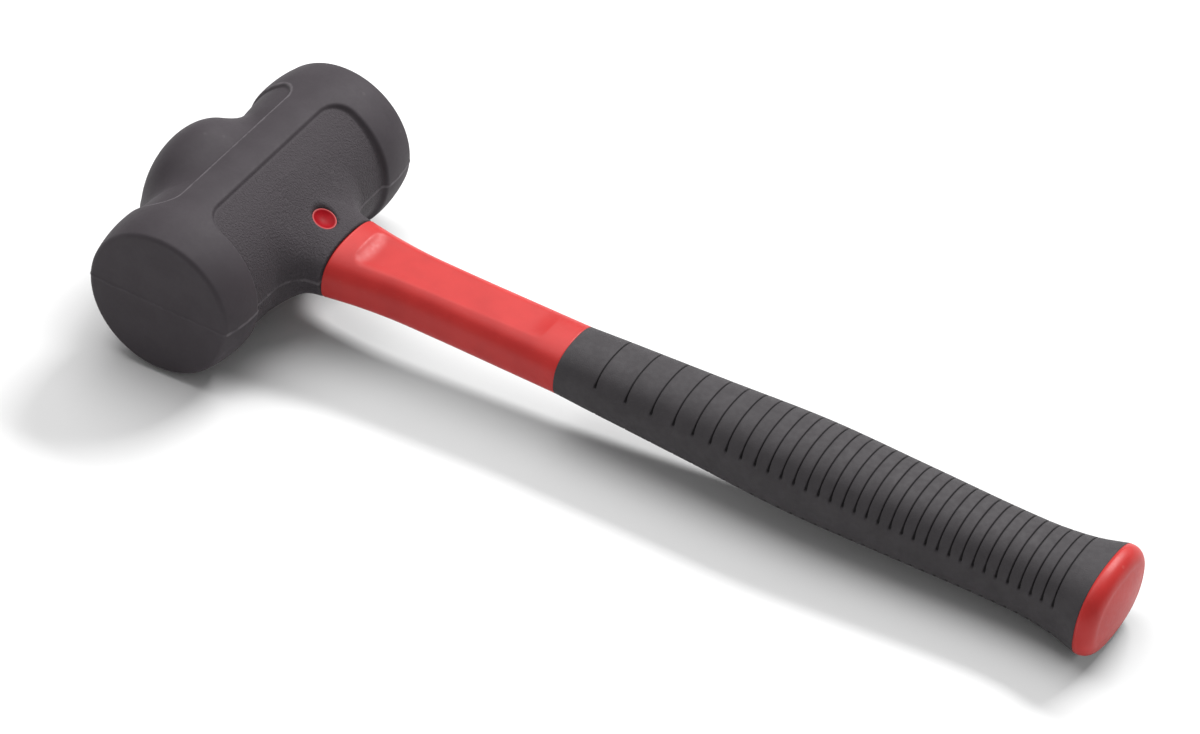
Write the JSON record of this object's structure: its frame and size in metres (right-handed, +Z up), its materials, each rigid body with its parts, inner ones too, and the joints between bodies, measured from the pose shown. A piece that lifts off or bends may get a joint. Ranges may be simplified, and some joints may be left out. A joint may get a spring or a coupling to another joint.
{
  "type": "dead blow mallet",
  "caption": "Dead blow mallet: a rubber-jacketed head with flat striking faces, loose steel shot sealed in a canister, and an oval two-part handle with a cross-grooved grip.",
  "frame": {"origin": "centre of the bounding box's base, on the floor the mallet lies on", "axes": "+Z up, +X along the handle from the head to the butt, +Y along the head's axis through both striking faces"},
  "size_m": [0.3558, 0.1126, 0.0558],
  "materials": {
    "black_rubber": "matte, fine grain in the side panels",
    "grip_rubber": "matte, soft touch",
    "red_plastic": "satin moulded",
    "pin_red": "satin moulded",
    "canister_steel": "plain drawn tube",
    "shot_steel": "tumbled balls",
    "glass_fibre": "pultruded rod"
  },
  "bodies": {
    "mallet": {"head_jacket": "black_rubber", "canister_tube": "canister_steel", "near_canister_disc": "canister_steel", "far_canister_disc": "canister_steel", "handle_socket": "canister_steel", "handle_core": "glass_fibre", "handle_sleeve": "red_plastic", "grip": "grip_rubber", "butt_cap": "red_plastic", "cross_pin": "canister_steel", "upper_pin_cap": "pin_red", "lower_pin_cap": "pin_red"},
    "shot_charge": {"steel_shot": "shot_steel"}
  },
  "joints": [
    {"name": "shot_slide", "type": "slide", "parent": "mallet", "child": "shot_charge", "axis": [0, 1, 0], "range_m": [-0.008, 0.008]}
  ]
}
